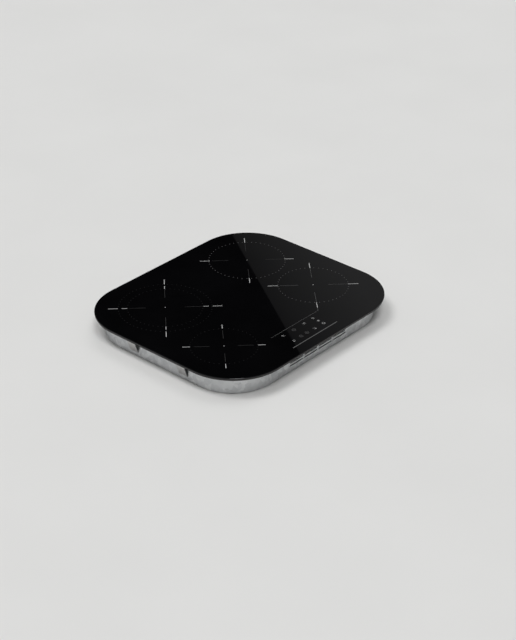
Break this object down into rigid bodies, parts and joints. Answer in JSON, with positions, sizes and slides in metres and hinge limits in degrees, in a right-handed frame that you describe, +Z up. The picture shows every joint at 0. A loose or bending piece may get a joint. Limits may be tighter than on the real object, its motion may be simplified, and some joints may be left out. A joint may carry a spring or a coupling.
{
  "type": "induction cooktop",
  "caption": "Built-in induction cooktop: black glass with round corners and printed cooking zones over a shallow steel case with coils, power boards, fans and a terminal box.",
  "frame": {"origin": "under the middle of the glass, level with the lowest ribs of the case", "axes": "+X to the user's right, +Y away from the user, +Z up through the glass"},
  "size_m": [0.59, 0.51, 0.054],
  "materials": {
    "black_glass": "polished black glass-ceramic with printed marks",
    "foam_seal": "matt closed-cell foam",
    "silicone": "black silicone bead",
    "galvanised": "zinc-coated sheet steel",
    "spring_steel": "bright spring steel",
    "zinc_screw": "zinc-plated",
    "aluminium": "mill finish sheet",
    "extrusion": "extruded",
    "former_plastic": "moulded, fibre filled",
    "litz": "enamelled copper litz",
    "ferrite": "sintered",
    "mica": "mica sheet",
    "silicone_plug": "red silicone",
    "sensor_cap": "ceramic",
    "wire_sleeve": "glass-fibre sleeve",
    "grey_plastic": "moulded",
    "black_plastic": "moulded",
    "circuit_board": "green solder mask",
    "chip_black": "epoxy",
    "capacitor": "yellow film capacitors and dark cans",
    "choke_wire": "enamelled copper on a ring core",
    "terminal_tin": "tinned brass",
    "touch_spring": "spring steel",
    "display": "black segment display",
    "ribbon": "grey flat cable",
    "terminal_white": "white polyamide"
  },
  "bodies": {
    "cooktop": {"board_carriers": "grey_plastic", "bottom_plate": "galvanised", "bottom_screws": "zinc_screw", "buzzer": "chip_black", "capacitors": "capacitor", "coil_former_front_left": "former_plastic", "coil_former_front_right": "former_plastic", "coil_former_rear_left": "former_plastic", "coil_former_rear_right": "former_plastic", "coil_leaf_springs": "spring_steel", "coil_plate_left": "aluminium", "coil_plate_right": "aluminium", "control_board": "circuit_board", "control_carrier": "grey_plastic", "digit_displays": "display", "fan_cover_left": "black_plastic", "fan_cover_right": "black_plastic", "fan_housing_left": "black_plastic", "fan_housing_right": "black_plastic", "fan_stators": "choke_wire", "ferrites": "ferrite", "filter_board": "circuit_board", "filter_carrier": "grey_plastic", "filter_parts": "choke_wire", "glass_adhesive": "silicone", "glass_top": "black_glass", "heat_sinks": "extrusion", "hinge_pin": "spring_steel", "internal_wires": "wire_sleeve", "lead_terminals": "terminal_tin", "mica_discs": "mica", "pillar_screws": "zinc_screw", "pillars": "grey_plastic", "power_boards": "circuit_board", "power_chokes": "choke_wire", "relays": "chip_black", "ribbon_cable": "ribbon", "ribbon_socket": "terminal_white", "rim_seal": "foam_seal", "semiconductors": "chip_black", "sensor_holders": "silicone_plug", "side_frame": "galvanised", "temperature_sensors": "sensor_cap", "terminal_block": "terminal_white", "terminal_box": "black_plastic", "terminal_screws": "zinc_screw", "touch_pads": "touch_spring", "winding_front_left": "litz", "winding_front_right": "litz", "winding_rear_left": "litz", "winding_rear_right": "litz"},
    "fan_rotor_left": {"fan_impeller_left": "black_plastic", "fan_shaft_left": "spring_steel"},
    "fan_rotor_right": {"fan_impeller_right": "black_plastic", "fan_shaft_right": "spring_steel"},
    "terminal_lid": {"terminal_lid": "black_plastic"},
    "clip_front_left": {"clip_front_left": "spring_steel"},
    "clip_rear_left": {"clip_rear_left": "spring_steel"},
    "clip_front_right": {"clip_front_right": "spring_steel"},
    "clip_rear_right": {"clip_rear_right": "spring_steel"}
  },
  "joints": [
    {"name": "fan_spin_left", "type": "hinge", "parent": "cooktop", "child": "fan_rotor_left", "pos_m": [-0.125, 0.155, 0.02], "axis": [0, 0, 1], "continuous": true},
    {"name": "fan_spin_right", "type": "hinge", "parent": "cooktop", "child": "fan_rotor_right", "pos_m": [0.125, 0.155, 0.02], "axis": [0, 0, 1], "continuous": true},
    {"name": "terminal_lid_hinge", "type": "hinge", "parent": "cooktop", "child": "terminal_lid", "pos_m": [-0.015, 0.2361, 0.0067], "axis": [-1, 0, 0], "range_deg": [0, 95]},
    {"name": "clip_flex_front_left", "type": "hinge", "parent": "cooktop", "child": "clip_front_left", "pos_m": [-0.2706, -0.075, 0.01135], "axis": [0, 1, 0], "range_deg": [0, 4], "stiffness_Nm_per_rad": 0.5},
    {"name": "clip_flex_rear_left", "type": "hinge", "parent": "cooktop", "child": "clip_rear_left", "pos_m": [-0.2706, 0.075, 0.01135], "axis": [0, 1, 0], "range_deg": [0, 4], "stiffness_Nm_per_rad": 0.5},
    {"name": "clip_flex_front_right", "type": "hinge", "parent": "cooktop", "child": "clip_front_right", "pos_m": [0.2706, -0.075, 0.01135], "axis": [0, -1, 0], "range_deg": [0, 4], "stiffness_Nm_per_rad": 0.5},
    {"name": "clip_flex_rear_right", "type": "hinge", "parent": "cooktop", "child": "clip_rear_right", "pos_m": [0.2706, 0.075, 0.01135], "axis": [0, -1, 0], "range_deg": [0, 4], "stiffness_Nm_per_rad": 0.5}
  ]
}
